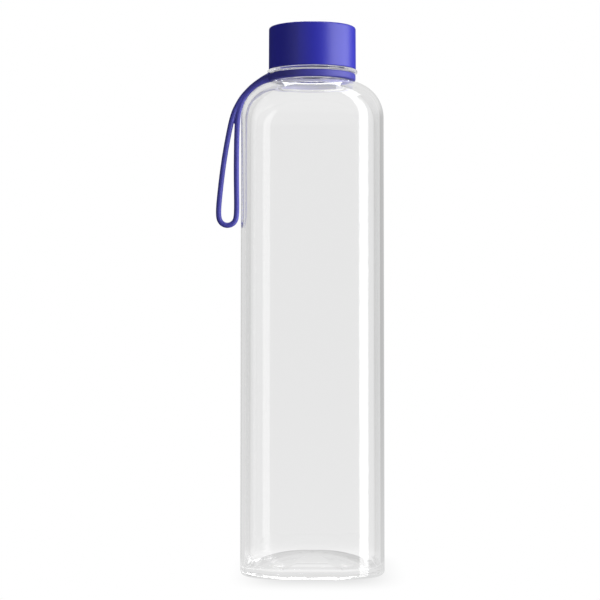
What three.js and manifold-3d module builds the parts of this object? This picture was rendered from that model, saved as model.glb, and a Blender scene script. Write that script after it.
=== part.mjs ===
import * as THREE from 'three';
import { mergeVertices } from 'three/addons/utils/BufferGeometryUtils.js';
import Module from 'manifold-3d';

// A tall clear water bottle of rounded square section, with a plain screw cap and a silicone carry
// strap. Millimetres, +Z up. The origin is on the bottle's axis, in the plane that it stands on.
// The strap hangs on the -X side.

const wasm = await Module();
wasm.setup();

// Bottle body
const halfWidth = 35; // half the distance across the flats, just above the heel
const halfWidthTop = 34.65; // and where the shoulder starts: the mould has a slight draft
const coreHalf = 15; // half side of the square that the corner arcs are swung from
const wall = 1.8;
const heelRadius = 2.3;
const innerHeelRadius = 4;
const standInner = 29.5; // inner edge of the flat ring that the bottle stands on
const pushUp = 7; // how far the middle of the base is raised
const baseWall = 2.6;
const innerDomeEdge = 26; // where the raised floor inside meets the valley round it
const floorWall = 2;
const shoulderRadius = 20;
const shoulderZ = 221.6;

// Neck finish
const neckRadius = 17.8;
const boreRadius = 16;
const supportRadius = 22.3; // the ring under the cap that the bottle is blown and filled by
const supportLow = 245.4;
const supportHigh = 246.8;
const lipZ = 262.8;
const edge = 0.3; // broken edges
const lipEdge = 0.5;

// Screw thread, one start, right-handed
const pitch = 4;
const threadHeight = 0.85;
const threadRoot = 2.4;
const threadCrest = 1.3;
const threadTurns = 1.5;
const threadLead = 0.12; // turns over which each end fades into the wall
const threadZ = 252.6; // lower end of the bottle's thread

// Cap
const gap = 0.3; // between pieces that touch
const capRadius = 21.55;
const capTopRadius = 21.45;
const capTop = 268.1;
const capFillet = 1.1;
const capWall = 1.2;
const capTopWall = 1.5;
const snapBead = 0.65; // inward bead under the insert's skirt that holds it in the shell
const snapBeadHeight = 0.7;
const insertWall = 1.1;
const insertTopWall = 1.3;
const gasketThickness = 1.6;
const gasketBore = 14;

// Strap
const strapRingInner = 18.1;
const strapRingOuter = 21.4;
const strapRingLow = 241.5;
const strapRingHigh = 245.1;
const strapRingEdge = 0.9;
const tailThickness = 3.6;
const tailWidth = 4.4;
const tailCorner = 1.2;
const strandDiameter = 2.7;
const lugRoot = -19.6; // inside the ring, where the lug that carries the loop starts
const lugThickness = 3.2;
const hingeX = -24.6;
const hingeZ = 241.75;

const bottleSegments = 40;
const capSegments = 48;

const clear = new THREE.MeshStandardMaterial({
  color: 0xf4f8fa, roughness: 0.05, metalness: 0, transparent: true, opacity: 0.3,
});
const capBlue = new THREE.MeshStandardMaterial({ color: 0x2a2a9c, roughness: 0.55, metalness: 0 });
const insertBlue = new THREE.MeshStandardMaterial({ color: 0x2c2ca0, roughness: 0.4, metalness: 0 });
const sealWhite = new THREE.MeshStandardMaterial({ color: 0xe8e8e4, roughness: 0.6, metalness: 0 });
const strapBlue = new THREE.MeshStandardMaterial({ color: 0x2e2e96, roughness: 0.6, metalness: 0 });

// Points along an arc about (r, z), angles in degrees from +r towards +z.
function arc(r, z, radius, from, to, steps) {
  return Array.from({ length: steps + 1 }, (_, i) => {
    const a = THREE.MathUtils.degToRad(from + ((to - from) * i) / steps);
    return { r: r + radius * Math.cos(a), z: z + radius * Math.sin(a), angle: a };
  });
}

// A turned solid about Z. A point with a core is pushed out from the axis by a square of that
// half side, which turns the round section there into a square one with rounded corners.
function turned(profile, segments) {
  const points = profile.map(({ r, z }) => new THREE.Vector2(r, z));
  const geometry = new THREE.LatheGeometry(points, segments, Math.PI / segments);
  geometry.rotateX(Math.PI / 2);
  const position = geometry.attributes.position;
  for (let i = 0; i < position.count; i++) {
    const { r, core = 0 } = profile[i % profile.length];
    if (r === 0 || core === 0) continue;
    const x = position.getX(i) / r;
    const y = position.getY(i) / r;
    position.setX(i, (r - core) * x + core * Math.sign(x));
    position.setY(i, (r - core) * y + core * Math.sign(y));
  }
  return geometry;
}

function solid(geometry) {
  geometry.deleteAttribute('normal');
  geometry.deleteAttribute('uv');
  const merged = mergeVertices(geometry);
  return new wasm.Manifold(new wasm.Mesh({
    numProp: 3,
    vertProperties: new Float32Array(merged.attributes.position.array),
    triVerts: new Uint32Array(merged.index.array),
  }));
}

function joined(...geometries) {
  const whole = geometries.map(solid).reduce((a, b) => a.add(b));
  const mesh = whole.getMesh();
  const geometry = new THREE.BufferGeometry();
  geometry.setAttribute('position', new THREE.BufferAttribute(mesh.vertProperties, 3));
  geometry.setIndex(new THREE.BufferAttribute(mesh.triVerts, 1));
  return geometry;
}

// One helical ridge on a round wall. side is 1 on the outside of a neck, -1 on the inside of a cap.
function threadRidge(wallRadius, z, side, segments) {
  const buried = 0.4;
  const sunk = 0.25; // how far below the wall the faded ends finish
  const section = new THREE.Shape([
    new THREE.Vector2(-threadRoot / 2, -buried),
    new THREE.Vector2(threadRoot / 2, -buried),
    new THREE.Vector2(threadCrest / 2, threadHeight),
    new THREE.Vector2(-threadCrest / 2, threadHeight),
  ]);
  const geometry = new THREE.ExtrudeGeometry(section, {
    depth: threadTurns, steps: threadTurns * segments, bevelEnabled: false,
  });
  const position = geometry.attributes.position;
  const half = Math.PI / segments;
  for (let i = 0; i < position.count; i++) {
    const turn = position.getZ(i);
    const full = Math.min(1, turn / threadLead, (threadTurns - turn) / threadLead);
    const up = position.getX(i) * (0.5 + 0.5 * full);
    const out = position.getY(i) < 0 ? -buried : full * (threadHeight + sunk) - sunk;
    const radius = wallRadius + side * out;
    const angle = turn * 2 * Math.PI + half;
    position.setXYZ(i, radius * Math.cos(angle), radius * Math.sin(angle), z + turn * pitch + side * up);
  }
  return geometry;
}

function bottleBody() {
  const shoulderR = halfWidthTop - shoulderRadius;
  const shoulderCore = (angle) => {
    const r = shoulderR + shoulderRadius * Math.cos(angle);
    return coreHalf * Math.max(0, (r - neckRadius) / (halfWidthTop - neckRadius));
  };
  const scaledCore = (points, full) => points.map((p) => ({ ...p, core: (coreHalf * p.r) / full }));
  const shoulder = (radius, from, to, steps) => arc(shoulderR, shoulderZ, radius, from, to, steps)
    .map((p) => ({ ...p, core: shoulderCore(p.angle) }));
  const angleAt = (r, radius) => THREE.MathUtils.radToDeg(Math.acos((r - shoulderR) / radius));

  const domeRadius = (standInner ** 2 + pushUp ** 2) / (2 * pushUp);
  const domeZ = pushUp - domeRadius;
  const dome = (radius, edgeR, steps) => {
    const edgeAngle = THREE.MathUtils.radToDeg(Math.acos(edgeR / radius));
    const points = arc(0, domeZ, radius, 90, edgeAngle, steps);
    points[0].r = 0;
    return points;
  };

  const innerHalf = halfWidth - wall;
  const outside = [
    ...scaledCore([
      ...dome(domeRadius, standInner, 5),
      ...arc(halfWidth - heelRadius, heelRadius, heelRadius, -90, 0, 4),
    ], halfWidth),
    ...shoulder(shoulderRadius, 0, angleAt(neckRadius, shoulderRadius), 8),
  ];
  const finish = [
    { r: neckRadius, z: supportLow },
    { r: supportRadius - edge, z: supportLow },
    { r: supportRadius, z: supportLow + edge },
    { r: supportRadius, z: supportHigh - edge },
    { r: supportRadius - edge, z: supportHigh },
    { r: neckRadius, z: supportHigh },
    { r: neckRadius, z: lipZ - lipEdge },
    { r: neckRadius - lipEdge, z: lipZ },
    { r: boreRadius + lipEdge, z: lipZ },
    { r: boreRadius, z: lipZ - lipEdge },
  ];
  const inside = [
    ...shoulder(shoulderRadius - wall, angleAt(boreRadius, shoulderRadius - wall), 0, 8),
    ...scaledCore([
      ...arc(innerHalf - innerHeelRadius, floorWall + innerHeelRadius, innerHeelRadius, 0, -90, 4),
      ...dome(domeRadius + baseWall, innerDomeEdge, 4).reverse(),
    ], innerHalf),
  ];
  const shell = turned([...outside, ...finish, ...inside], bottleSegments);
  return joined(shell, threadRidge(neckRadius, threadZ, 1, bottleSegments));
}

const capBottom = supportHigh + gap;
const insertTop = capTop - capTopWall - gap;
const insertRadius = capRadius - capWall - gap;
const insertBore = insertRadius - insertWall;
const insertBottom = capBottom + snapBeadHeight + gap;
const gasketTop = insertTop - insertTopWall - gap;

function capShell() {
  const inner = capRadius - capWall;
  const under = capTop - capTopWall;
  return turned([
    { r: 0, z: under },
    { r: inner, z: under },
    { r: inner, z: capBottom + snapBeadHeight + 0.2 },
    { r: inner - snapBead, z: capBottom + snapBeadHeight - 0.2 },
    { r: inner - snapBead, z: capBottom },
    { r: capRadius - edge, z: capBottom },
    { r: capRadius, z: capBottom + edge },
    ...arc(capTopRadius - capFillet, capTop - capFillet, capFillet, 0, 90, 4),
    { r: 0, z: capTop },
  ], capSegments);
}

function threadInsert() {
  const under = insertTop - insertTopWall;
  const cup = turned([
    { r: 0, z: under },
    { r: insertBore, z: under },
    { r: insertBore, z: insertBottom },
    { r: insertRadius, z: insertBottom },
    { r: insertRadius, z: insertTop - 1 },
    { r: insertRadius - 1, z: insertTop },
    { r: 0, z: insertTop },
  ], capSegments);
  return joined(cup, threadRidge(insertBore, threadZ - pitch / 2, -1, capSegments));
}

function gasket() {
  const outer = insertBore - gap;
  const low = gasketTop - gasketThickness;
  return turned([
    { r: gasketBore, z: low },
    { r: outer, z: low },
    { r: outer, z: gasketTop },
    { r: gasketBore, z: gasketTop },
    { r: gasketBore, z: low },
  ], bottleSegments);
}

function roundBar(width, thickness, radius) {
  const x = width / 2 - radius;
  const y = thickness / 2 - radius;
  const quarter = Math.PI / 2;
  return new THREE.Shape()
    .absarc(x, y, radius, 0, quarter)
    .absarc(-x, y, radius, quarter, 2 * quarter)
    .absarc(-x, -y, radius, 2 * quarter, 3 * quarter)
    .absarc(x, -y, radius, 3 * quarter, 4 * quarter);
}

function sweep(shape, curve, steps, curveSegments) {
  return new THREE.ExtrudeGeometry(shape, {
    steps, extrudePath: curve, curveSegments, bevelEnabled: false,
  });
}

const inPlane = (points) => points.map(([x, z]) => new THREE.Vector3(x, 0, z));

function strapNeckRing() {
  const low = strapRingLow + strapRingEdge;
  const high = strapRingHigh - strapRingEdge;
  const outer = strapRingOuter - strapRingEdge;
  const corners = [
    { r: strapRingInner, z: strapRingLow },
    ...arc(outer, low, strapRingEdge, -90, 0, 2),
    ...arc(outer, high, strapRingEdge, 0, 90, 2),
    { r: strapRingInner, z: strapRingHigh },
    { r: strapRingInner, z: strapRingLow },
  ];
  const lugEnd = hingeX + tailThickness / 2 + gap;
  const lug = new THREE.LineCurve3(...inPlane([[lugRoot, 243.2], [lugEnd, 242.6]]));
  const lugSection = roundBar(tailWidth, lugThickness, tailCorner);
  return joined(turned(corners, bottleSegments), sweep(lugSection, lug, 1, 1));
}

function strapLoop() {
  const knuckle = new THREE.CylinderGeometry(tailThickness / 2, tailThickness / 2, tailWidth, 16);
  knuckle.translate(hingeX, 0, hingeZ);
  const tail = new THREE.CatmullRomCurve3(inPlane([
    [hingeX, hingeZ], [-28.6, 239.15], [-31.8, 236.5], [-34.1, 233.8],
  ]));
  const strand = new THREE.CatmullRomCurve3(inPlane([
    [-32.5, 235.6], [-36.2, 231.4], [-39, 226], [-40.9, 218.3], [-43.8, 202.5], [-46, 184],
    [-46.6, 175], [-45.3, 171.4], [-42, 170], [-38.7, 171.4], [-37.3, 175],
    [-37.6, 192.8], [-37.5, 204], [-36.9, 218.1], [-36, 226], [-33.9, 232.6], [-32, 235.2],
  ]));
  const round = new THREE.Shape().absarc(0, 0, strandDiameter / 2, 0, 2 * Math.PI);
  return joined(
    knuckle,
    sweep(roundBar(tailWidth, tailThickness, tailCorner), tail, 5, 1),
    sweep(round, strand, 48, 4),
  );
}

function piece(name, geometry, material) {
  const mesh = new THREE.Mesh(geometry, material);
  mesh.name = name;
  return mesh;
}

const bottle = new THREE.Group();
bottle.add(piece('bottle_body', bottleBody(), clear));

const cap = new THREE.Group();
cap.add(piece('cap_shell', capShell(), capBlue));
cap.add(piece('cap_thread_insert', threadInsert(), insertBlue));
cap.add(piece('cap_gasket', gasket(), sealWhite));
bottle.add(cap);

const strap = new THREE.Group();
strap.add(piece('strap_neck_ring', strapNeckRing(), strapBlue));
strap.add(piece('strap_loop', strapLoop(), strapBlue));
bottle.add(strap);

export default bottle;
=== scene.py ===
import math

import bmesh
import bpy
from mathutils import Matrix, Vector
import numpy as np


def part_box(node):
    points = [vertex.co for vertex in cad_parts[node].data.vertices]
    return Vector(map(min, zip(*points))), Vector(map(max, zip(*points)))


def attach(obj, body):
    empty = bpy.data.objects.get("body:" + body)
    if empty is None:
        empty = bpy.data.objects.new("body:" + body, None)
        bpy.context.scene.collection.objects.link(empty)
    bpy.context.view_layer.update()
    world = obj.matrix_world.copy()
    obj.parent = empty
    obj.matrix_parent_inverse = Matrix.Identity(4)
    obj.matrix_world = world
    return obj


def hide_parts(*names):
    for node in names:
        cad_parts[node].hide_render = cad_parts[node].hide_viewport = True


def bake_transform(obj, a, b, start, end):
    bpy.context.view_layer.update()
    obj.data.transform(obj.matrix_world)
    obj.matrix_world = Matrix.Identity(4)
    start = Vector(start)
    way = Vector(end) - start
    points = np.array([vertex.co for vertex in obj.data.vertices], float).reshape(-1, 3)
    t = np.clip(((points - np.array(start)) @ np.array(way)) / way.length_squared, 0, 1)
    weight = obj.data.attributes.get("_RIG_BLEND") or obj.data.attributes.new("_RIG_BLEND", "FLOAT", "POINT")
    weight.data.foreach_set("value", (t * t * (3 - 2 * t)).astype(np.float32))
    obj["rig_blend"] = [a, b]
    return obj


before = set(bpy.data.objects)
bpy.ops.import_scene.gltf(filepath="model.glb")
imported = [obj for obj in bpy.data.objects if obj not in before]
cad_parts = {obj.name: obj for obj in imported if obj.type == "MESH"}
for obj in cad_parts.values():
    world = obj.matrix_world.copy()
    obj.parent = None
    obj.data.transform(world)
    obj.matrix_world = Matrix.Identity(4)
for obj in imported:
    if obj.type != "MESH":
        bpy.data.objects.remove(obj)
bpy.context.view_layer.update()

scene = bpy.context.scene
mm = 0.001

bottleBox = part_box("bottle_body")
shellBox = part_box("cap_shell")
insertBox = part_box("cap_thread_insert")
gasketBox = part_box("cap_gasket")
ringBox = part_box("strap_neck_ring")
print("frame loaded:", len(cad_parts), "nodes")

cameraSet = {
    "lens": 106.8,
    "sensor": 36,
    "clipStart": 0.05,
    "place": (0.0, -0.88, 0.1245),
    "lookAt": (-0.0061, 0.0, 0.1334),
}


def pointAt(obj, target):
    direction = Vector(target) - obj.location
    obj.rotation_euler = direction.to_track_quat("-Z", "Y").to_euler()


def makeCamera(s):
    bpy.ops.object.camera_add(location=s["place"])
    cam = bpy.context.object
    cam.name = "productCamera"
    cam.data.lens = s["lens"]
    cam.data.sensor_width = s["sensor"]
    cam.data.clip_start = s["clipStart"]
    pointAt(cam, s["lookAt"])
    scene.camera = cam
    print("camera placed")


makeCamera(cameraSet)


def deselectAll():
    if bpy.context.object and bpy.context.object.mode != "OBJECT":
        bpy.ops.object.mode_set(mode="OBJECT")
    bpy.ops.object.select_all(action="DESELECT")


def selectOnly(obj):
    deselectAll()
    obj.select_set(True)
    bpy.context.view_layer.objects.active = obj


def selectWhere(test, kind="verts"):
    # picks parts of the mesh in edit mode by their place
    mesh = bpy.context.object.data
    bm = bmesh.from_edit_mesh(mesh)
    bpy.ops.mesh.select_mode(type={"verts": "VERT", "edges": "EDGE", "faces": "FACE"}[kind])
    bpy.ops.mesh.select_all(action="DESELECT")
    for part in getattr(bm, kind):
        if test(part):
            part.select_set(True)
    bm.select_flush_mode()
    bmesh.update_edit_mesh(mesh)


def applyModifier(obj, kind, **values):
    selectOnly(obj)
    mod = obj.modifiers.new(kind.title(), kind)
    for key, value in values.items():
        setattr(mod, key, value)
    bpy.ops.object.modifier_apply(modifier=mod.name)


def settle(obj, name):
    # the finished piece keeps its place in its mesh, with the object at the origin
    selectOnly(obj)
    bpy.ops.object.transform_apply(location=True, rotation=True, scale=True)
    obj.name = name
    obj.data.name = name
    obj.data.materials.clear()


def outward(obj):
    selectOnly(obj)
    bpy.ops.object.mode_set(mode="EDIT")
    bpy.ops.mesh.select_all(action="SELECT")
    bpy.ops.mesh.remove_doubles(threshold=0.002 * mm)
    bpy.ops.mesh.normals_make_consistent(inside=False)
    bpy.ops.object.mode_set(mode="OBJECT")


def smooth(obj, degrees):
    selectOnly(obj)
    bpy.ops.object.shade_smooth_by_angle(angle=math.radians(degrees))


def arcPoints(r, z, radius, start, end, steps):
    found = []
    for i in range(steps + 1):
        a = math.radians(start + (end - start) * i / steps)
        found.append((r + radius * math.cos(a), z + radius * math.sin(a)))
    return found


bottle = {
    "halfWidth": 35.0 * mm,
    "halfWidthTop": 34.65 * mm,
    "core": 15.0 * mm,
    "wall": 1.8 * mm,
    "heel": 2.3 * mm,
    "innerHeel": 4.0 * mm,
    "standInner": 29.5 * mm,
    "pushUp": 7.0 * mm,
    "baseWall": 2.6 * mm,
    "innerDomeEdge": 26.0 * mm,
    "floorWall": 2.0 * mm,
    "shoulder": 20.0 * mm,
    "shoulderZ": 221.6 * mm,
    "neck": 17.8 * mm,
    "bore": 16.0 * mm,
    "supportRadius": 22.3 * mm,
    "supportLow": 245.4 * mm,
    "supportHigh": 246.8 * mm,
    "supportEdge": 0.4 * mm,
    "filletUnder": 0.35 * mm,
    "filletOver": 0.3 * mm,
    "lip": bottleBox[1][2],
    "lipEdge": 0.6 * mm,
    "cornerSteps": 32,
    "flatLine": 0.9 * mm,
}
thread = {
    "pitch": 4.0 * mm,
    "height": 0.85 * mm,
    "root": 2.4 * mm,
    "crest": 1.3 * mm,
    "turns": 1.5,
    "lead": 0.12,
    "low": 252.6 * mm,
    "buried": 0.4 * mm,
    "sunk": 0.25 * mm,
    "edge": 0.2 * mm,
    "stepsPerTurn": 96,
}


def bottleRings(s):
    # every ring is (height, half width, half side of the square its corners swing from)
    offset = s["halfWidthTop"] - s["shoulder"]
    domeRadius = (s["standInner"] ** 2 + s["pushUp"] ** 2) / (2 * s["pushUp"])
    domeZ = s["pushUp"] - domeRadius

    def lower(points, full):
        return [(z, r, s["core"] * r / full) for r, z in points]

    def dome(radius, edge, steps):
        return arcPoints(0, domeZ, radius, 90, math.degrees(math.acos(edge / radius)), steps)

    def shoulderCore(a):
        r = offset + s["shoulder"] * math.cos(a)
        return s["core"] * max(0.0, (r - s["neck"]) / (s["halfWidthTop"] - s["neck"]))

    def shoulder(radius, start, end, steps):
        rings = []
        for i in range(steps + 1):
            a = start + (end - start) * i / steps
            rings.append((s["shoulderZ"] + radius * math.sin(a), offset + radius * math.cos(a), shoulderCore(a)))
        return rings

    def side(half, halfTop, low):
        # rings close to each end keep the long flat wall shaded flat
        spans = [0.004, 0.012, 0.04, 0.2, 0.5, 0.8, 0.96, 0.988, 0.996]
        tall = s["shoulderZ"] - low
        return [(low + tall * t, half + (halfTop - half) * t, s["core"]) for t in spans]

    outerTop = math.acos((s["neck"] - offset) / s["shoulder"])
    innerRadius = s["shoulder"] - s["wall"]
    innerTop = math.acos((s["bore"] - offset) / innerRadius)
    inner = s["halfWidth"] - s["wall"]
    innerTopHalf = s["halfWidthTop"] - s["wall"]

    rings = lower(dome(domeRadius, s["standInner"], 14)[1:], s["halfWidth"])
    rings += lower(arcPoints(s["halfWidth"] - s["heel"], s["heel"], s["heel"], -90, 0, 10), s["halfWidth"])
    rings += side(s["halfWidth"], s["halfWidthTop"], s["heel"])
    rings += shoulder(s["shoulder"], 0, outerTop, 30)

    # the neck's finish: support ring, threaded wall, lip and bore
    edge, lipEdge = s["supportEdge"], s["lipEdge"]
    low, high, out = s["supportLow"], s["supportHigh"], s["supportRadius"]
    under, over = s["filletUnder"], s["filletOver"]
    turns = (math.pi / 6, math.pi / 3, math.pi / 2)
    finish = [(s["neck"], low - 0.9 * mm)]
    finish += [(s["neck"] + under * (1 - math.cos(a)), low - under * (1 - math.sin(a))) for a in turns]
    finish += [(s["neck"] + 1.2 * mm, low)]
    finish += arcPoints(out - edge, low + edge, edge, -90, 0, 6)
    finish += arcPoints(out - edge, high - edge, edge, 0, 90, 6)
    finish += [(s["neck"] + 0.6 * mm, high)]
    finish += [(s["neck"] + over * (1 - math.sin(a)), high + over * (1 - math.cos(a))) for a in turns]
    finish += [(s["neck"], s["lip"] - lipEdge - 0.6 * mm)]
    finish += arcPoints(s["neck"] - lipEdge, s["lip"] - lipEdge, lipEdge, 0, 90, 6)
    finish += arcPoints(s["bore"] + lipEdge, s["lip"] - lipEdge, lipEdge, 90, 180, 6)
    finish += [(s["bore"], s["lip"] - lipEdge - 0.6 * mm), (s["bore"], s["supportLow"] - 2 * mm)]
    rings += [(z, r, 0.0) for r, z in finish]

    rings += shoulder(innerRadius, innerTop, 0, 30)
    rings += side(inner, innerTopHalf, s["floorWall"] + s["innerHeel"])[::-1]
    valley = arcPoints(inner - s["innerHeel"], s["floorWall"] + s["innerHeel"], s["innerHeel"], 0, -90, 10)
    rings += lower(valley + dome(domeRadius + s["baseWall"], s["innerDomeEdge"], 12)[::-1][:-1], inner)
    return rings, s["pushUp"], s["pushUp"] + s["baseWall"]


def startQuarter(s, ring):
    # a quarter of the outline: one corner arc and half a flat on each side of it
    z, half, core = ring
    radius = half - core
    bpy.ops.mesh.primitive_circle_add(
        vertices=4 * s["cornerSteps"], radius=radius, location=(core, core, z), fill_type="NOTHING")
    obj = bpy.context.object
    bpy.ops.object.transform_apply(location=True, rotation=True, scale=True)
    bpy.ops.object.mode_set(mode="EDIT")
    tiny = 1e-7
    selectWhere(lambda v: v.co.x < core - tiny or v.co.y < core - tiny)
    bpy.ops.mesh.delete(type="VERT")
    for axis, name in ((0, "onX"), (1, "onY")):
        obj.vertex_groups.new(name=name)
        obj.vertex_groups.active_index = axis
        selectWhere(lambda v, axis=axis: v.co[axis] < core + tiny)
        step = [0, 0, 0]
        step[axis] = -core
        bpy.ops.mesh.extrude_vertices_move(TRANSFORM_OT_translate={"value": step})
        bpy.ops.object.vertex_group_assign()
    bpy.ops.mesh.select_all(action="SELECT")
    return obj


def nextRing(old, new):
    # extrudes the selected outline and swings it to the new half width about the corner's centre
    z0, half0, core0 = old
    z1, half1, core1 = new
    bpy.ops.mesh.extrude_edges_move(TRANSFORM_OT_translate={"value": (0, 0, z1 - z0)})
    k = (half1 - core1) / (half0 - core0)
    if abs(1 - k) > 1e-6:
        middle = (core1 - k * core0) / (1 - k)
        bpy.ops.transform.resize(value=(k, k, 1), center_override=(middle, middle, z1))
    elif abs(core1 - core0) > 1e-9:
        bpy.ops.transform.translate(value=(core1 - core0, core1 - core0, 0))


def helixRidge(s, radius, low, side, name):
    # a four-sided bead wound on a round wall, sunk into it at both ends
    deselectAll()
    bpy.ops.mesh.primitive_plane_add(size=1, rotation=(math.pi / 2, 0, 0))
    obj = bpy.context.object
    bpy.ops.object.transform_apply(location=True, rotation=True, scale=True)
    bpy.ops.object.mode_set(mode="EDIT")
    tall = s["height"] + s["buried"]
    middle = radius + side * (s["height"] - s["buried"]) / 2
    bpy.ops.transform.resize(value=(tall, 1, s["root"]), center_override=(0, 0, 0))
    bpy.ops.transform.translate(value=(middle, 0, low))
    selectWhere(lambda v: (v.co.x - middle) * side > 0)
    bpy.ops.transform.resize(value=(1, 1, s["crest"] / s["root"]), center_override=(middle, 0, low))
    bpy.ops.object.mode_set(mode="OBJECT")
    steps = int(s["turns"] * s["stepsPerTurn"])
    applyModifier(
        obj, "SCREW", angle=2 * math.pi * s["turns"], screw_offset=s["pitch"] * s["turns"],
        steps=steps, render_steps=steps, axis="Z", use_smooth_shade=False)
    obj.name = name
    selectOnly(obj)
    bpy.ops.object.mode_set(mode="EDIT")

    def turnOf(co):
        part = math.atan2(co.y, co.x) / (2 * math.pi) % 1
        return part + round((co.z - low) / s["pitch"] - part)

    # close both ends, then draw the crest under the wall towards each of them
    selectWhere(lambda e: e.is_boundary, "edges")
    bpy.ops.mesh.edge_face_add()
    for i in range(int(s["lead"] * s["stepsPerTurn"]) + 1):
        share = i / (s["lead"] * s["stepsPerTurn"])
        rise = share * share * (3 - 2 * share) * (s["height"] + s["sunk"]) - s["sunk"]
        k = (radius + side * rise) / (radius + side * s["height"])
        for turn in (i / s["stepsPerTurn"], s["turns"] - i / s["stepsPerTurn"]):
            selectWhere(lambda v, turn=turn: abs(turnOf(v.co) - turn) < 0.2 / s["stepsPerTurn"]
                        and (v.co.xy.length - radius) * side > 0)
            bpy.ops.transform.resize(value=(k, k, 1), center_override=(0, 0, 0))
    bpy.ops.object.mode_set(mode="OBJECT")
    outward(obj)
    applyModifier(obj, "BEVEL", width=s["edge"], segments=3, limit_method="ANGLE", angle_limit=math.radians(40))
    return obj


def unite(obj, tool):
    applyModifier(obj, "BOOLEAN", operation="UNION", object=tool, solver="EXACT")
    bpy.data.objects.remove(tool, do_unlink=True)


def makeBottle(s):
    deselectAll()
    rings, poleLow, poleHigh = bottleRings(s)
    obj = startQuarter(s, rings[0])
    for old, new in zip(rings, rings[1:]):
        nextRing(old, new)
    # close the raised floor on the axis, inside and then outside
    for ring, pole in ((rings[-1], poleHigh), (rings[0], poleLow)):
        z, half, core = ring
        selectWhere(lambda v, z=z, half=half: abs(v.co.z - z) < 1e-7 and max(v.co.x, v.co.y) < half + 1e-5)
        bpy.ops.mesh.extrude_edges_move(TRANSFORM_OT_translate={"value": (0, 0, pole - z)})
        bpy.ops.transform.resize(value=(0, 0, 1), center_override=(0, 0, pole))
    # the ends of the outline go onto the two middle planes
    for axis in (0, 1):
        bpy.ops.mesh.select_all(action="DESELECT")
        obj.vertex_groups.active_index = axis
        bpy.ops.object.vertex_group_select()
        flat = [1, 1, 1]
        flat[axis] = 0
        bpy.ops.transform.resize(value=flat, center_override=(0, 0, 0))
    bpy.ops.mesh.select_all(action="SELECT")
    # an extra line just inside each flat's edge keeps the flats shaded flat
    for axis in (0, 1):
        normal = [0, 0, 0]
        normal[axis] = 1
        selectWhere(lambda f: f.calc_center_median().z < s["shoulderZ"], "faces")
        place = [0, 0, 0]
        place[axis] = s["core"] - s["flatLine"]
        bpy.ops.mesh.bisect(plane_co=place, plane_no=normal)
    bpy.ops.object.mode_set(mode="OBJECT")
    obj.vertex_groups.clear()
    applyModifier(obj, "MIRROR", use_axis=(True, True, False), use_mirror_merge=True, merge_threshold=0.004 * mm)
    outward(obj)
    unite(obj, helixRidge(thread, s["neck"], thread["low"], 1, "neckThread"))
    outward(obj)
    smooth(obj, 32)
    settle(obj, "clear_bottle")
    print("bottle:", len(obj.data.polygons), "faces")
    return obj


cap = {
    "radius": 21.55 * mm,
    "topRadius": 21.45 * mm,
    "fillet": 1.1 * mm,
    "wall": 1.2 * mm,
    "topWall": 1.5 * mm,
    "bead": 0.65 * mm,
    "beadHeight": 0.7 * mm,
    "beadLip": 0.05 * mm,
    "beadSlope": 0.3 * mm,
    "beadEdge": 0.25 * mm,
    "lowEdge": 0.5 * mm,
    "topRings": (0.6 * mm, 6 * mm, 6 * mm),
    "vertices": 160,
}


def onCircle(radius, z, tolerance=0.01 * mm):
    return lambda part: all(
        abs(v.co.xy.length - radius) < tolerance and abs(v.co.z - z) < tolerance
        for v in (part.verts if hasattr(part, "verts") else [part]))


def flatFace(z, up):
    return lambda f: abs(f.calc_center_median().z - z) < 0.01 * mm and f.normal.z * up > 0.9


def makeCapShell(s):
    deselectAll()
    low, high = shellBox[0][2], shellBox[1][2]
    bpy.ops.mesh.primitive_cylinder_add(
        vertices=s["vertices"], radius=s["radius"], depth=high - low, location=(0, 0, (low + high) / 2))
    obj = bpy.context.object
    bpy.ops.object.transform_apply(location=True, rotation=True, scale=True)
    bpy.ops.object.mode_set(mode="EDIT")
    # the slight draft, narrower at the top
    selectWhere(flatFace(high, 1), "faces")
    k = s["topRadius"] / s["radius"]
    bpy.ops.transform.resize(value=(k, k, 1), center_override=(0, 0, high))
    # hollow it from below, past the snap bead
    selectWhere(flatFace(low, -1), "faces")
    bpy.ops.mesh.inset(thickness=s["wall"] + s["bead"])
    bpy.ops.mesh.extrude_region_move(TRANSFORM_OT_translate={"value": (0, 0, s["beadHeight"])})
    bpy.ops.mesh.inset(thickness=s["beadLip"])
    beadTop = low + s["beadHeight"]
    inner = s["radius"] - s["wall"]
    k = inner / (inner - s["bead"] - s["beadLip"])
    bpy.ops.transform.resize(value=(k, k, 1), center_override=(0, 0, beadTop))
    bpy.ops.transform.translate(value=(0, 0, s["beadSlope"]))
    bpy.ops.mesh.extrude_region_move(
        TRANSFORM_OT_translate={"value": (0, 0, high - s["topWall"] - beadTop - s["beadSlope"])})
    # top fillet, then the broken edge at the bottom
    selectWhere(onCircle(s["topRadius"], high), "edges")
    bpy.ops.mesh.bevel(offset=s["fillet"], segments=8, profile=0.5)
    selectWhere(onCircle(s["radius"], low), "edges")
    bpy.ops.mesh.bevel(offset=s["lowEdge"], segments=5, profile=0.5)
    selectWhere(onCircle(inner - s["bead"], low), "edges")
    bpy.ops.mesh.bevel(offset=s["beadEdge"], segments=3, profile=0.5)
    # rings inside the flat top hold its shading
    selectWhere(flatFace(high, 1), "faces")
    for gap in s["topRings"]:
        bpy.ops.mesh.inset(thickness=gap)
    bpy.ops.object.mode_set(mode="OBJECT")
    outward(obj)
    smooth(obj, 30)
    settle(obj, "cap_outer_shell")
    print("cap shell:", len(obj.data.polygons), "faces")
    return obj


insert = {
    "radius": 20.05 * mm,
    "wall": 1.1 * mm,
    "topWall": 1.3 * mm,
    "chamfer": 1.0 * mm,
    "lowEdge": 0.25 * mm,
    "vertices": 96,
}


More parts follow.
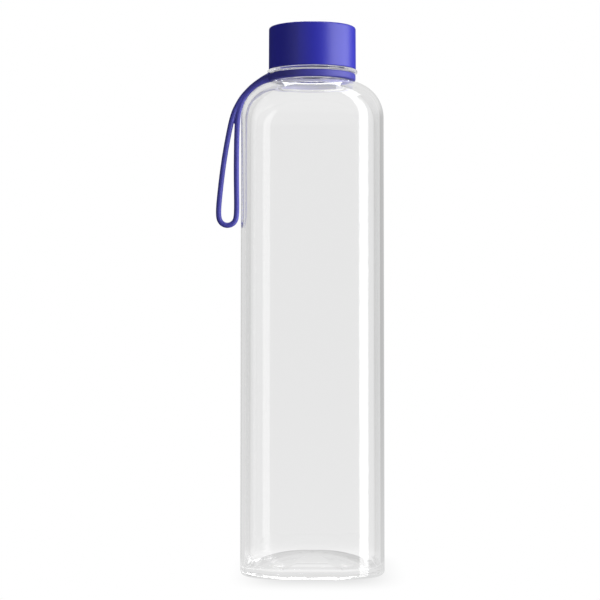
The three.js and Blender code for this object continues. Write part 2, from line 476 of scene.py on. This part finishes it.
def makeInsert(s):
    deselectAll()
    low, high = insertBox[0][2], insertBox[1][2]
    outer = s["radius"]
    bore = outer - s["wall"]
    bpy.ops.mesh.primitive_cylinder_add(
        vertices=s["vertices"], radius=outer, depth=high - low, location=(0, 0, (low + high) / 2))
    obj = bpy.context.object
    bpy.ops.object.transform_apply(location=True, rotation=True, scale=True)
    bpy.ops.object.mode_set(mode="EDIT")
    selectWhere(onCircle(outer, high), "edges")
    bpy.ops.mesh.bevel(offset=s["chamfer"], segments=3, profile=0.5)
    selectWhere(flatFace(low, -1), "faces")
    bpy.ops.mesh.inset(thickness=s["wall"])
    bpy.ops.mesh.extrude_region_move(
        TRANSFORM_OT_translate={"value": (0, 0, high - s["topWall"] - low)})
    selectWhere(lambda e: onCircle(outer, low)(e) or onCircle(bore, low)(e), "edges")
    bpy.ops.mesh.bevel(offset=s["lowEdge"], segments=2, profile=0.5)
    bpy.ops.object.mode_set(mode="OBJECT")
    outward(obj)
    unite(obj, helixRidge(thread, bore, thread["low"] - thread["pitch"] / 2, -1, "capThread"))
    outward(obj)
    smooth(obj, 32)
    settle(obj, "cap_threaded_insert")
    print("cap insert:", len(obj.data.polygons), "faces")
    return obj


def makeRing(name, s, low, high):
    # a flat ring from a disc: both faces inset to the bore, then the bore bridged through
    deselectAll()
    bpy.ops.mesh.primitive_cylinder_add(
        vertices=s["vertices"], radius=s["outer"], depth=high - low, location=(0, 0, (low + high) / 2))
    obj = bpy.context.object
    bpy.ops.object.transform_apply(location=True, rotation=True, scale=True)
    bpy.ops.object.mode_set(mode="EDIT")
    selectWhere(lambda f: abs(f.normal.z) > 0.9, "faces")
    bpy.ops.mesh.inset(thickness=s["outer"] - s["inner"], use_individual=True)
    bpy.ops.mesh.bridge_edge_loops()
    selectWhere(lambda e: abs(e.verts[0].co.z - e.verts[1].co.z) < 1e-7
                and abs(e.verts[0].co.xy.length - e.verts[1].co.xy.length) < 1e-6, "edges")
    bpy.ops.mesh.bevel(offset=s["rounding"], segments=s["segments"], profile=0.5)
    bpy.ops.object.mode_set(mode="OBJECT")
    outward(obj)
    obj.name = name
    return obj


gasket = {"inner": 14.0 * mm, "outer": 18.65 * mm, "rounding": 0.35 * mm, "segments": 4, "vertices": 96}


def makeGasket(s):
    obj = makeRing("gasket", s, gasketBox[0][2], gasketBox[1][2])
    smooth(obj, 40)
    settle(obj, "sealing_gasket")
    print("gasket:", len(obj.data.polygons), "faces")
    return obj


strap = {
    "ring": {"inner": 18.1 * mm, "outer": 21.4 * mm, "rounding": 0.9 * mm, "segments": 5, "vertices": 128},
    "ringRaised": 0.45 * mm,
    "strand": 2.7 * mm,
    "voxel": 0.25 * mm,
    # the tail's middle line in mm, from inside the ring to where the strands part, and its swelling
    "tail": [(-19.8, 243.4), (-22.6, 242.65), (-25.4, 241.35), (-28.6, 239.15), (-31.6, 236.65), (-34.0, 233.95)],
    "tailSwell": [1.5, 1.25, 1.0, 0.98, 0.9, 0.7],
    "tailHalf": (2.1 * mm, 1.75 * mm),
    # the loop's strand as one line, down its outer leg and up its inner one
    "strandLine": [
        (-26.5, 241.1), (-30.6, 238.2), (-33.9, 234.8), (-36.3, 231.3), (-39.0, 226.0), (-40.9, 218.3),
        (-43.8, 202.5), (-46.0, 184.0), (-46.6, 175.0), (-45.3, 171.4), (-42.0, 170.0), (-38.7, 171.4),
        (-37.3, 175.0), (-37.6, 192.8), (-37.6, 204.0), (-37.3, 218.1), (-36.8, 225.7), (-35.0, 231.9),
        (-31.7, 236.3), (-27.6, 239.4),
    ],
}


def curvePiece(name, points, radii, halfWidth, halfThick, order=4):
    # a round-cornered bar along a smooth line in the XZ plane, made a mesh
    deselectAll()
    data = bpy.data.curves.new(name, "CURVE")
    data.dimensions = "3D"
    data.resolution_u = 10
    line = data.splines.new("NURBS")
    line.points.add(len(points) - 1)
    for point, (x, z), radius in zip(line.points, points, radii):
        point.co = (x * mm, 0, z * mm, 1)
        point.radius = radius
    line.order_u = order
    line.use_endpoint_u = True
    bpy.ops.curve.primitive_bezier_circle_add(radius=1)
    section = bpy.context.object
    section.scale = (halfThick, halfWidth, 1)
    bpy.ops.object.transform_apply(location=True, rotation=True, scale=True)
    section.data.resolution_u = 6
    obj = bpy.data.objects.new(name, data)
    bpy.context.collection.objects.link(obj)
    data.bevel_mode = "OBJECT"
    data.bevel_object = section
    data.use_fill_caps = True
    selectOnly(obj)
    bpy.ops.object.convert(target="MESH")
    bpy.data.objects.remove(section, do_unlink=True)
    outward(obj)
    return obj


def makeStrap(s):
    ring = makeRing("ring", s["ring"], ringBox[0][2] + s["ringRaised"], ringBox[1][2])
    tail = curvePiece("tail", s["tail"], s["tailSwell"], *s["tailHalf"])
    half = s["strand"] / 2
    strand = curvePiece("strand", s["strandLine"], [1.0] * len(s["strandLine"]), half, half, 3)
    deselectAll()
    for obj in (tail, strand, ring):
        obj.select_set(True)
    bpy.context.view_layer.objects.active = ring
    bpy.ops.object.join()
    applyModifier(ring, "REMESH", mode="VOXEL", voxel_size=s["voxel"], use_smooth_shade=True)
    applyModifier(ring, "SMOOTH", factor=0.5, iterations=7)
    outward(ring)
    smooth(ring, 60)
    settle(ring, "silicone_strap")
    print("strap:", len(ring.data.polygons), "faces")
    return ring


def newGroup(name, inputs, outputs):
    group = bpy.data.node_groups.new(name, "ShaderNodeTree")
    for label, kind, value in inputs:
        socket = group.interface.new_socket(name=label, in_out="INPUT", socket_type=kind)
        if value is not None:
            socket.default_value = value
    for label, kind in outputs:
        group.interface.new_socket(name=label, in_out="OUTPUT", socket_type=kind)
    return group


def addNode(tree, kind, **values):
    node = tree.nodes.new(kind)
    for key, value in values.items():
        setattr(node, key, value)
    return node


def makeMouldedFinish():
    # fine moulded grain with a slow drift of tone, for every plastic and silicone piece
    group = newGroup(
        "mouldedFinish",
        [
            ("Color", "NodeSocketColor", (0.5, 0.5, 0.5, 1)),
            ("Drift Color", "NodeSocketColor", (0.4, 0.4, 0.4, 1)),
            ("Drift Scale", "NodeSocketFloat", 40.0),
            ("Roughness", "NodeSocketFloat", 0.5),
            ("Roughness Drift", "NodeSocketFloat", 0.05),
            ("Grain Scale", "NodeSocketFloat", 2500.0),
            ("Grain Depth", "NodeSocketFloat", 0.00002),
        ],
        [("Color", "NodeSocketColor"), ("Roughness", "NodeSocketFloat"), ("Normal", "NodeSocketVector")],
    )
    link = group.links.new
    entry = addNode(group, "NodeGroupInput")
    leave = addNode(group, "NodeGroupOutput")
    place = addNode(group, "ShaderNodeTexCoord")
    drift = addNode(group, "ShaderNodeTexNoise")
    drift.inputs["Detail"].default_value = 3
    grain = addNode(group, "ShaderNodeTexNoise")
    grain.inputs["Detail"].default_value = 2
    link(place.outputs["Object"], drift.inputs["Vector"])
    link(place.outputs["Object"], grain.inputs["Vector"])
    link(entry.outputs["Drift Scale"], drift.inputs["Scale"])
    link(entry.outputs["Grain Scale"], grain.inputs["Scale"])
    tone = addNode(group, "ShaderNodeMix", data_type="RGBA")
    link(drift.outputs["Fac"], tone.inputs["Factor"])
    link(entry.outputs["Color"], tone.inputs["A"])
    link(entry.outputs["Drift Color"], tone.inputs["B"])
    link(tone.outputs["Result"], leave.inputs["Color"])
    centred = addNode(group, "ShaderNodeMath", operation="SUBTRACT")
    centred.inputs[1].default_value = 0.5
    link(drift.outputs["Fac"], centred.inputs[0])
    rough = addNode(group, "ShaderNodeMath", operation="MULTIPLY_ADD")
    link(centred.outputs[0], rough.inputs[0])
    link(entry.outputs["Roughness Drift"], rough.inputs[1])
    link(entry.outputs["Roughness"], rough.inputs[2])
    link(rough.outputs[0], leave.inputs["Roughness"])
    bump = addNode(group, "ShaderNodeBump")
    bump.inputs["Strength"].default_value = 1.0
    link(grain.outputs["Fac"], bump.inputs["Height"])
    link(entry.outputs["Grain Depth"], bump.inputs["Distance"])
    link(bump.outputs["Normal"], leave.inputs["Normal"])
    return group


finishGroup = makeMouldedFinish()


def mouldedMaterial(name, look):
    mat = bpy.data.materials.new(name)
    mat.use_nodes = True
    tree = mat.node_tree
    shader = tree.nodes["Principled BSDF"]
    finish = addNode(tree, "ShaderNodeGroup", node_tree=finishGroup)
    finish.inputs["Color"].default_value = (*look["color"], 1)
    finish.inputs["Drift Color"].default_value = (*look["drift"], 1)
    for socket, key in (
            ("Drift Scale", "driftScale"), ("Roughness", "roughness"), ("Roughness Drift", "roughnessDrift"),
            ("Grain Scale", "grainScale"), ("Grain Depth", "grainDepth")):
        finish.inputs[socket].default_value = look[key]
    for socket, target in (("Color", "Base Color"), ("Roughness", "Roughness"), ("Normal", "Normal")):
        tree.links.new(finish.outputs[socket], shader.inputs[target])
    for key, value in look.get("sockets", {}).items():
        shader.inputs[key].default_value = value
    if "paintedGlow" in look:
        # painted light: the neck ring's lower part glows pale grey where it is seen through the thick shoulder
        path = addNode(tree, "ShaderNodeLightPath")
        place = addNode(tree, "ShaderNodeTexCoord")
        split = addNode(tree, "ShaderNodeSeparateXYZ")
        paintedGlowPart = addNode(tree, "ShaderNodeMapRange")
        paintedGlowPart.inputs["From Min"].default_value = look["paintedGlowFrom"]
        paintedGlowPart.inputs["From Max"].default_value = look["paintedGlowFrom"] + 1 * mm
        both = addNode(tree, "ShaderNodeMath", operation="MULTIPLY")
        paintedGlowMix = addNode(tree, "ShaderNodeMix", data_type="RGBA")
        paintedGlowMix.inputs["A"].default_value = (0, 0, 0, 1)
        paintedGlowMix.inputs["B"].default_value = (*look["paintedGlow"], 1)
        tree.links.new(place.outputs["Object"], split.inputs["Vector"])
        tree.links.new(split.outputs["Z"], paintedGlowPart.inputs["Value"])
        tree.links.new(paintedGlowPart.outputs["Result"], both.inputs[0])
        tree.links.new(path.outputs["Is Transmission Ray"], both.inputs[1])
        tree.links.new(both.outputs[0], paintedGlowMix.inputs["Factor"])
        tree.links.new(paintedGlowMix.outputs["Result"], shader.inputs["Emission Color"])
        shader.inputs["Emission Strength"].default_value = 1
    return mat


def clearPlastic(name, look):
    mat = bpy.data.materials.new(name)
    mat.use_nodes = True
    tree = mat.node_tree
    link = tree.links.new
    shader = tree.nodes["Principled BSDF"]
    shader.inputs["Base Color"].default_value = (*look["color"], 1)
    shader.inputs["Roughness"].default_value = look["roughness"]
    shader.inputs["IOR"].default_value = look["ior"]
    shader.inputs["Transmission Weight"].default_value = 1
    # the slight waviness of a blown wall
    place = addNode(tree, "ShaderNodeTexCoord")
    stretch = addNode(tree, "ShaderNodeMapping")
    stretch.inputs["Scale"].default_value = look["waveStretch"]
    wave = addNode(tree, "ShaderNodeTexNoise")
    wave.inputs["Scale"].default_value = look["waveScale"]
    wave.inputs["Detail"].default_value = 1
    bump = addNode(tree, "ShaderNodeBump")
    bump.inputs["Strength"].default_value = 1.0
    bump.inputs["Distance"].default_value = look["waveDepth"]
    link(place.outputs["Object"], stretch.inputs["Vector"])
    link(stretch.outputs["Vector"], wave.inputs["Vector"])
    link(wave.outputs["Fac"], bump.inputs["Height"])
    link(bump.outputs["Normal"], shader.inputs["Normal"])
    # lamps shine through the wall, and light caught inside it for long goes straight out
    path = addNode(tree, "ShaderNodeLightPath")
    caught = addNode(tree, "ShaderNodeMath", operation="GREATER_THAN")
    caught.inputs[1].default_value = look["caughtAfter"]
    leave = addNode(tree, "ShaderNodeMath", operation="MAXIMUM")
    straight = addNode(tree, "ShaderNodeBsdfTransparent")
    straight.inputs["Color"].default_value = (*look["straight"], 1)
    mix = addNode(tree, "ShaderNodeMixShader")
    out = tree.nodes["Material Output"]
    link(path.outputs["Ray Depth"], caught.inputs[0])
    link(caught.outputs[0], leave.inputs[0])
    link(path.outputs["Is Shadow Ray"], leave.inputs[1])
    link(leave.outputs[0], mix.inputs["Fac"])
    link(shader.outputs["BSDF"], mix.inputs[1])
    link(straight.outputs["BSDF"], mix.inputs[2])
    link(mix.outputs["Shader"], out.inputs["Surface"])
    return mat


clearLook = {
    "color": (1.0, 1.0, 1.0),
    "roughness": 0.0,
    "ior": 1.5,
    "waveScale": 22.0,
    "waveStretch": (1, 1, 0.35),
    "waveDepth": 0.00002,
    "straight": (0.97, 0.97, 0.97),
    "caughtAfter": 10.5,
}
capLook = {
    "color": (0.022, 0.023, 0.355), "drift": (0.019, 0.020, 0.32), "driftScale": 45.0,
    "roughness": 0.40, "roughnessDrift": 0.05, "grainScale": 3200.0, "grainDepth": 0.000018,
    "sockets": {"IOR": 1.49},
}
insertLook = {
    "color": (0.035, 0.033, 0.44), "drift": (0.03, 0.03, 0.40), "driftScale": 60.0,
    "roughness": 0.34, "roughnessDrift": 0.05, "grainScale": 1500.0, "grainDepth": 0.00001,
}
gasketLook = {
    "color": (0.80, 0.80, 0.78), "drift": (0.74, 0.74, 0.72), "driftScale": 90.0,
    "roughness": 0.55, "roughnessDrift": 0.06, "grainScale": 1800.0, "grainDepth": 0.00001,
    "sockets": {"Subsurface Weight": 0.25, "Subsurface Scale": 0.002},
}
strapLook = {
    "color": (0.050, 0.049, 0.315), "drift": (0.044, 0.043, 0.28), "driftScale": 70.0,
    "roughness": 0.52, "roughnessDrift": 0.08, "grainScale": 2200.0, "grainDepth": 0.000022,
    # painted light: the strap's ring glows pale grey where it is seen through the shoulder
    "sockets": {"IOR": 1.42}, "paintedGlow": (0.46, 0.46, 0.44), "paintedGlowFrom": 0.2405,
}


def dress(obj, material, body, nodes):
    obj.data.materials.append(material)
    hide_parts(*nodes)
    if body:
        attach(obj, body)
    return obj


bottleObj = dress(
    makeBottle(bottle), clearPlastic("clearCopolyester", clearLook), "bottle",
    ["bottle_body"])
shellObj = dress(
    makeCapShell(cap), mouldedMaterial("matteBlueCap", capLook), "cap",
    ["cap_shell"])
insertObj = dress(
    makeInsert(insert), mouldedMaterial("blueInsert", insertLook), "cap",
    ["cap_thread_insert"])
gasketObj = dress(
    makeGasket(gasket), mouldedMaterial("whiteGasket", gasketLook), "cap_seal",
    ["cap_gasket"])
strapObj = dress(
    makeStrap(strap), mouldedMaterial("blueSilicone", strapLook), None,
    ["strap_neck_ring", "strap_loop"])
# the tail bends where it leaves the ring
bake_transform(strapObj, "strap_ring", "strap_tail", start=(-0.0218, 0, 0.2431), end=(-0.0285, 0, 0.2392))
for obj in (shellObj, insertObj, gasketObj):
    obj.visible_glossy = False  # the clear walls don't mirror the cap's pieces
print("pieces made")


studio = {
    "floorSize": 3,
    "backdrop": 1.0,
    "through": 0.84,
    "ambient": 0.05,
    "mirroredLeft": 0.62,
    "mirroredRight": 0.50,
    "mirroredBack": 0.72,
    "mirroredBelow": 0.78,
    "mirroredAbove": 0.78,
    # painted light: the floor is brighter under the foot where it is seen through the clear walls
    "paintedLightUnder": 0.92,
    "paintedLightUnderStart": 0.05,
    "paintedLightUnderEnd": 0.12,
    "floorBounce": 0.3,
    # painted contact shadow on the floor around the foot
    "shadeCentre": (0.0025, 0, 0),
    "shadeReach": (0.0445, 0.072, 1),
    "shadeCore": 0.25,
    "shadeDepth": 0.29,
    "bounces": 24,
}


def makeFloor(s):
    # a white sweep with a soft painted shadow under the foot, drawn in the floor's own coordinates; seen through
    # the clear walls the floor is painted brighter under the foot
    deselectAll()
    bpy.ops.mesh.primitive_plane_add(size=s["floorSize"], location=(0, 0, 0))
    floor = bpy.context.object
    floor.name = "floor"
    mat = bpy.data.materials.new("paleFloor")
    mat.use_nodes = True
    tree = mat.node_tree
    link = tree.links.new
    shader = tree.nodes["Principled BSDF"]
    shader.inputs["Base Color"].default_value = (0, 0, 0, 1)
    shader.inputs["Roughness"].default_value = 1.0
    shader.inputs["Specular IOR Level"].default_value = 0.0
    shader.inputs["Emission Color"].default_value = (1, 1, 1, 1)
    place = addNode(tree, "ShaderNodeTexCoord")
    centred = addNode(tree, "ShaderNodeVectorMath", operation="SUBTRACT")
    centred.inputs[1].default_value = s["shadeCentre"]
    scaled = addNode(tree, "ShaderNodeVectorMath", operation="DIVIDE")
    scaled.inputs[1].default_value = s["shadeReach"]
    squared = addNode(tree, "ShaderNodeVectorMath", operation="MULTIPLY")
    length = addNode(tree, "ShaderNodeVectorMath", operation="LENGTH")
    radius = addNode(tree, "ShaderNodeMath", operation="SQRT")
    # painted contact shadow under the foot, seen by camera rays only
    shade = addNode(tree, "ShaderNodeMapRange", interpolation_type="SMOOTHSTEP")
    shade.inputs["From Min"].default_value = 1.0
    shade.inputs["From Max"].default_value = s["shadeCore"]
    shade.inputs["To Min"].default_value = 1.0
    shade.inputs["To Max"].default_value = 1.0 - s["shadeDepth"]
    link(place.outputs["Object"], centred.inputs[0])
    link(centred.outputs[0], scaled.inputs[0])
    link(scaled.outputs[0], squared.inputs[0])
    link(scaled.outputs[0], squared.inputs[1])
    link(squared.outputs[0], length.inputs[0])
    link(length.outputs["Value"], radius.inputs[0])
    link(radius.outputs[0], shade.inputs["Value"])
    path = addNode(tree, "ShaderNodeLightPath")
    through = addNode(tree, "ShaderNodeMix", data_type="FLOAT")
    through.inputs["A"].default_value = s["floorBounce"]
    reach = addNode(tree, "ShaderNodeVectorMath", operation="LENGTH")
    # painted light: brighter floor under the foot where it is seen through the clear walls
    under = addNode(tree, "ShaderNodeMapRange", interpolation_type="SMOOTHSTEP")
    under.inputs["From Min"].default_value = s["paintedLightUnderStart"]
    under.inputs["From Max"].default_value = s["paintedLightUnderEnd"]
    under.inputs["To Min"].default_value = s["paintedLightUnder"]
    under.inputs["To Max"].default_value = s["through"]
    link(place.outputs["Object"], reach.inputs[0])
    link(reach.outputs["Value"], under.inputs["Value"])
    link(under.outputs["Result"], through.inputs["B"])
    straight = addNode(tree, "ShaderNodeMix", data_type="FLOAT")
    link(path.outputs["Is Transmission Ray"], through.inputs["Factor"])
    link(path.outputs["Is Camera Ray"], straight.inputs["Factor"])
    link(through.outputs["Result"], straight.inputs["A"])
    link(shade.outputs["Result"], straight.inputs["B"])
    link(straight.outputs["Result"], shader.inputs["Emission Strength"])
    # mirrored light passes, so the walls mirror the room and the lamps down to the foot
    clear = addNode(tree, "ShaderNodeBsdfTransparent")
    mix = addNode(tree, "ShaderNodeMixShader")
    mirrored = addNode(tree, "ShaderNodeMath", operation="GREATER_THAN")
    mirrored.inputs[1].default_value = 0.5
    link(path.outputs["Glossy Depth"], mirrored.inputs[0])
    link(mirrored.outputs[0], mix.inputs["Fac"])
    link(shader.outputs["BSDF"], mix.inputs[1])
    link(clear.outputs["BSDF"], mix.inputs[2])
    link(mix.outputs["Shader"], tree.nodes["Material Output"].inputs["Surface"])
    floor.data.materials.append(mat)
    floor.visible_glossy = False


def makeWorld(s):
    # a white backdrop, a shade darker through the clear walls; a dim room lights and is mirrored
    world = bpy.data.worlds.new("studio")
    scene.world = world
    world.use_nodes = True
    tree = world.node_tree
    link = tree.links.new
    shader = tree.nodes["Background"]
    path = addNode(tree, "ShaderNodeLightPath")
    place = addNode(tree, "ShaderNodeTexCoord")
    split = addNode(tree, "ShaderNodeSeparateXYZ")
    link(place.outputs["Generated"], split.inputs["Vector"])

    def blend(factor, first, second):
        mix = addNode(tree, "ShaderNodeMix", data_type="FLOAT")
        link(factor, mix.inputs["Factor"])
        for socket, value in (("A", first), ("B", second)):
            if isinstance(value, float):
                mix.inputs[socket].default_value = value
            else:
                link(value, mix.inputs[socket])
        return mix.outputs["Result"]

    def ramp(axis, start, end):
        step = addNode(tree, "ShaderNodeMapRange", interpolation_type="SMOOTHSTEP")
        step.inputs["From Min"].default_value = start
        step.inputs["From Max"].default_value = end
        link(split.outputs[axis], step.inputs["Value"])
        return step.outputs["Result"]

    def reckon(operation, first, second=0.5):
        node = addNode(tree, "ShaderNodeMath", operation=operation)
        link(first, node.inputs[0])
        if isinstance(second, float):
            node.inputs[1].default_value = second
        else:
            link(second, node.inputs[1])
        return node.outputs[0]

    room = blend(ramp("X", -0.9, 0.5), s["mirroredLeft"], s["mirroredRight"])
    back = blend(ramp("X", -0.4, 0.3), s["mirroredBack"], s["mirroredRight"])
    room = blend(ramp("Y", 0.45, 0.9), room, back)
    room = blend(ramp("Z", 0.06, 0.35), room, s["mirroredAbove"])
    room = blend(ramp("Z", 0.0, -0.25), room, s["mirroredBelow"])
    mirrored = reckon(
        "MULTIPLY", reckon("GREATER_THAN", path.outputs["Glossy Depth"]), path.outputs["Is Singular Ray"])
    turned = reckon("ADD", path.outputs["Diffuse Depth"], path.outputs["Glossy Depth"])
    passed = reckon("MULTIPLY", reckon("LESS_THAN", turned), path.outputs["Is Transmission Ray"])
    light = blend(mirrored, s["ambient"], room)
    light = blend(passed, light, s["through"])
    light = blend(path.outputs["Is Camera Ray"], light, s["backdrop"])
    link(light, shader.inputs["Strength"])
    shader.inputs["Color"].default_value = (1, 1, 1, 1)


# azimuth 0 is on the camera's side and positive to its right; sizes and distance in metres
lampAim = {"distance": 1.0, "target": (0, 0, 0.13)}
lamps = {
    "keyStrip": {
        "azimuth": 59, "elevation": 6, "size": (0.50, 4.4), "radiance": 4.6, "inside": 0.3, "only": "clear"},
    "keyLight": {
        "azimuth": 59, "elevation": 6, "size": (0.50, 4.4), "radiance": 4.6, "only": "opaque", "through": False},
    "overHead": {
        "azimuth": 80, "elevation": 74, "size": (0.55, 0.45), "radiance": 5.0, "only": "clear", "through": False},
    "backTop": {
        "azimuth": 180, "elevation": 65, "size": (0.30, 0.46), "radiance": 9.0, "through": False},
    "rimLight": {
        "azimuth": 93, "elevation": 8, "size": (0.65, 1.2), "radiance": 3.9, "only": "opaque"},
    "backFill": {
        "azimuth": 195, "elevation": 15, "size": (0.8, 0.8), "radiance": 0.4, "only": "opaque", "mirrored": False,
        "through": False},
    "frontFill": {
        "azimuth": -35, "elevation": 15, "size": (0.8, 0.8), "radiance": 1.45, "only": "opaque", "mirrored": False,
        "through": False},
}
receivers = {
    "clear": [bottleObj],
    "opaque": [shellObj, insertObj, gasketObj, strapObj],
}


def makeLamp(name, s, aim):
    distance, target = aim["distance"], aim["target"]
    a = math.radians(s["azimuth"])
    e = math.radians(s["elevation"])
    bpy.ops.object.light_add(type="AREA", location=(
        target[0] + distance * math.cos(e) * math.sin(a),
        target[1] - distance * math.cos(e) * math.cos(a),
        target[2] + distance * math.sin(e)))
    lamp = bpy.context.object
    lamp.name = name
    lamp.data.shape = "RECTANGLE"
    lamp.data.size, lamp.data.size_y = s["size"]
    lamp.data.energy = s["radiance"] * math.pi * s["size"][0] * s["size"][1]
    if s.get("only") == "clear":
        # only mirrored, never seen straight through the walls, and dimmer where the far walls mirror it
        lamp.data.use_nodes = True
        tree = lamp.data.node_tree
        path = addNode(tree, "ShaderNodeLightPath")
        dim = addNode(tree, "ShaderNodeMapRange")
        dim.inputs["To Min"].default_value = 1.0
        dim.inputs["To Max"].default_value = s.get("inside", 1.0)
        turned = addNode(tree, "ShaderNodeMath", operation="GREATER_THAN")
        turned.inputs[1].default_value = 0.5
        strength = addNode(tree, "ShaderNodeMath", operation="MULTIPLY")
        tree.links.new(path.outputs["Transmission Depth"], dim.inputs["Value"])
        tree.links.new(path.outputs["Glossy Depth"], turned.inputs[0])
        tree.links.new(dim.outputs["Result"], strength.inputs[0])
        tree.links.new(turned.outputs[0], strength.inputs[1])
        tree.links.new(strength.outputs[0], tree.nodes["Emission"].inputs["Strength"])
    lamp.visible_glossy = s.get("mirrored", True)
    lamp.visible_transmission = s.get("through", True)
    lamp.visible_camera = False
    if "only" in s:
        group = bpy.data.collections.new(name + "Receivers")
        for obj in receivers[s["only"]]:
            group.objects.link(obj)
        lamp.light_linking.receiver_collection = group
        if s["only"] == "opaque":
            # the clear walls cast no shade on the strap and cap
            lamp.light_linking.blocker_collection = group
    pointAt(lamp, target)


makeFloor(studio)
makeWorld(studio)
for lampName, lampSet in lamps.items():
    makeLamp(lampName, lampSet, lampAim)
scene.view_settings.view_transform = "Standard"
for limit in ("max_bounces", "glossy_bounces", "transmission_bounces"):
    setattr(scene.cycles, limit, studio["bounces"])
print("stage lit")
